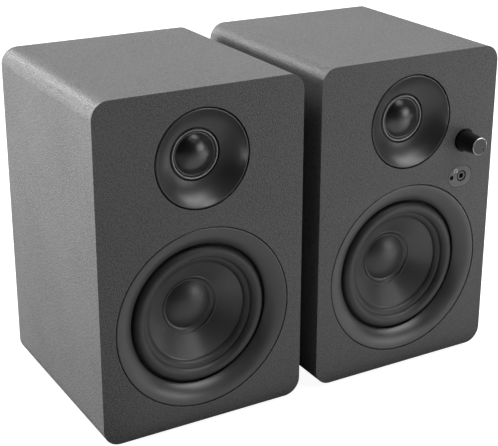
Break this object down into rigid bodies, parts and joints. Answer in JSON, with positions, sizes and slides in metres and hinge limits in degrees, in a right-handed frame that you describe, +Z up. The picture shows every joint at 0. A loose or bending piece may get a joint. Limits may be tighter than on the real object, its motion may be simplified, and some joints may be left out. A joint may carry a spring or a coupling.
{
  "type": "desktop speakers",
  "caption": "Powered two-way desktop speaker pair with textured black cabinets, waveguide tweeters, woofers in rounded trim rings, and a volume knob and headphone socket on the right one.",
  "frame": {"origin": "on the surface the speakers stand on, under the middle of the pair's bounding box", "axes": "+Z up, the speakers face -Y, +X from the left speaker to the right one as seen from the front"},
  "size_m": [0.2808, 0.167, 0.212],
  "materials": {
    "cabinet_vinyl": "satin",
    "foot_rubber": "matte",
    "port_plastic": "matte",
    "guide_plastic": "satin",
    "ring_grey": "satin",
    "dome_fabric": "satin",
    "trim_plastic": "satin",
    "basket_paint": "satin",
    "surround_rubber": "satin",
    "cone_plastic": "satin",
    "cap_plastic": "satin",
    "coil_copper": "gloss",
    "spider_fabric": "matte",
    "motor_steel": "satin",
    "ferrite": "matte",
    "screw_black": "satin",
    "terminal_plastic": "matte",
    "lever_red": "gloss",
    "lever_black": "gloss",
    "board": "gloss",
    "knob_metal": "satin",
    "shaft_steel": "satin",
    "jack_plastic": "satin",
    "jack_metal": "polished",
    "led_lens": "polished",
    "panel_paint": "satin",
    "transformer_iron": "satin",
    "switch_plastic": "gloss",
    "inlet_plastic": "matte"
  },
  "bodies": {
    "right_speaker": {"right_cabinet_shell": "cabinet_vinyl", "right_front_baffle": "cabinet_vinyl", "right_rear_panel": "cabinet_vinyl", "right_rubber_feet": "foot_rubber", "right_bass_port": "port_plastic", "right_tweeter_waveguide": "guide_plastic", "right_tweeter_ring": "ring_grey", "right_tweeter_magnet": "basket_paint", "right_woofer_trim_ring": "trim_plastic", "right_woofer_basket": "basket_paint", "right_woofer_surround": "surround_rubber", "right_woofer_spider": "spider_fabric", "right_woofer_top_plate": "motor_steel", "right_woofer_magnet": "ferrite", "right_woofer_pole_piece": "motor_steel", "right_screws": "screw_black", "right_terminal_housing": "terminal_plastic", "volume_pot": "shaft_steel", "control_plate": "trim_plastic", "headphone_jack": "jack_plastic", "led_lens": "led_lens", "amp_panel": "panel_paint", "circuit_board": "board", "power_transformer": "transformer_iron", "rca_jacks": "jack_metal", "power_switch_housing": "switch_plastic", "power_inlet": "inlet_plastic"},
    "left_speaker": {"left_cabinet_shell": "cabinet_vinyl", "left_front_baffle": "cabinet_vinyl", "left_rear_panel": "cabinet_vinyl", "left_rubber_feet": "foot_rubber", "left_bass_port": "port_plastic", "left_tweeter_waveguide": "guide_plastic", "left_tweeter_ring": "ring_grey", "left_tweeter_magnet": "basket_paint", "left_woofer_trim_ring": "trim_plastic", "left_woofer_basket": "basket_paint", "left_woofer_surround": "surround_rubber", "left_woofer_spider": "spider_fabric", "left_woofer_top_plate": "motor_steel", "left_woofer_magnet": "ferrite", "left_woofer_pole_piece": "motor_steel", "left_screws": "screw_black", "left_terminal_housing": "terminal_plastic", "left_crossover_board": "board"},
    "volume_control": {"volume_knob": "knob_metal", "volume_shaft": "shaft_steel"},
    "power_rocker": {"power_rocker": "switch_plastic"},
    "left_woofer_cone_assembly": {"left_woofer_cone": "cone_plastic", "left_woofer_dust_cap": "cap_plastic", "left_woofer_voice_coil": "coil_copper"},
    "left_tweeter_dome": {"left_tweeter_diaphragm": "dome_fabric"},
    "left_red_lever": {"left_terminal_lever_red": "lever_red"},
    "left_black_lever": {"left_terminal_lever_black": "lever_black"},
    "right_woofer_cone_assembly": {"right_woofer_cone": "cone_plastic", "right_woofer_dust_cap": "cap_plastic", "right_woofer_voice_coil": "coil_copper"},
    "right_tweeter_dome": {"right_tweeter_diaphragm": "dome_fabric"},
    "right_red_lever": {"right_terminal_lever_red": "lever_red"},
    "right_black_lever": {"right_terminal_lever_black": "lever_black"}
  },
  "joints": [
    {"name": "left_speaker_place", "type": "slide", "parent": "right_speaker", "child": "left_speaker", "axis": [-1, 0, 0], "range_m": [0, 0.3]},
    {"name": "volume_turn", "type": "hinge", "parent": "right_speaker", "child": "volume_control", "pos_m": [0.1169, -0.0675, 0.1512], "axis": [0, 1, 0], "range_deg": [-278.7, 21.3]},
    {"name": "power_switch", "type": "hinge", "parent": "right_speaker", "child": "power_rocker", "pos_m": [0.0494, 0.0715, 0.044], "axis": [-1, 0, 0], "range_deg": [0, 16]},
    {"name": "left_woofer_stroke", "type": "slide", "parent": "left_speaker", "child": "left_woofer_cone_assembly", "axis": [0, -1, 0], "range_m": [-0.003, 0.003], "stiffness_N_per_m": 1200, "deforming": ["left_woofer_surround", "left_woofer_spider"]},
    {"name": "left_tweeter_stroke", "type": "slide", "parent": "left_speaker", "child": "left_tweeter_dome", "axis": [0, -1, 0], "range_m": [-0.0003, 0.0003], "stiffness_N_per_m": 2000},
    {"name": "left_red_lever_press", "type": "hinge", "parent": "left_speaker", "child": "left_red_lever", "pos_m": [-0.0854, 0.0665, 0.069], "axis": [-1, 0, 0], "range_deg": [0, 20], "stiffness_Nm_per_rad": 0.02, "springref_deg": -5.73},
    {"name": "left_black_lever_press", "type": "hinge", "parent": "left_speaker", "child": "left_black_lever", "pos_m": [-0.0614, 0.0665, 0.069], "axis": [-1, 0, 0], "range_deg": [0, 20], "stiffness_Nm_per_rad": 0.02, "springref_deg": -5.73},
    {"name": "right_woofer_stroke", "type": "slide", "parent": "right_speaker", "child": "right_woofer_cone_assembly", "axis": [0, -1, 0], "range_m": [-0.003, 0.003], "stiffness_N_per_m": 1200, "deforming": ["right_woofer_surround", "right_woofer_spider"]},
    {"name": "right_tweeter_stroke", "type": "slide", "parent": "right_speaker", "child": "right_tweeter_dome", "axis": [0, -1, 0], "range_m": [-0.0003, 0.0003], "stiffness_N_per_m": 2000},
    {"name": "right_red_lever_press", "type": "hinge", "parent": "right_speaker", "child": "right_red_lever", "pos_m": [0.0494, 0.0685, 0.107], "axis": [-1, 0, 0], "range_deg": [0, 20], "stiffness_Nm_per_rad": 0.02, "springref_deg": -5.73},
    {"name": "right_black_lever_press", "type": "hinge", "parent": "right_speaker", "child": "right_black_lever", "pos_m": [0.0734, 0.0685, 0.107], "axis": [-1, 0, 0], "range_deg": [0, 20], "stiffness_Nm_per_rad": 0.02, "springref_deg": -5.73}
  ]
}
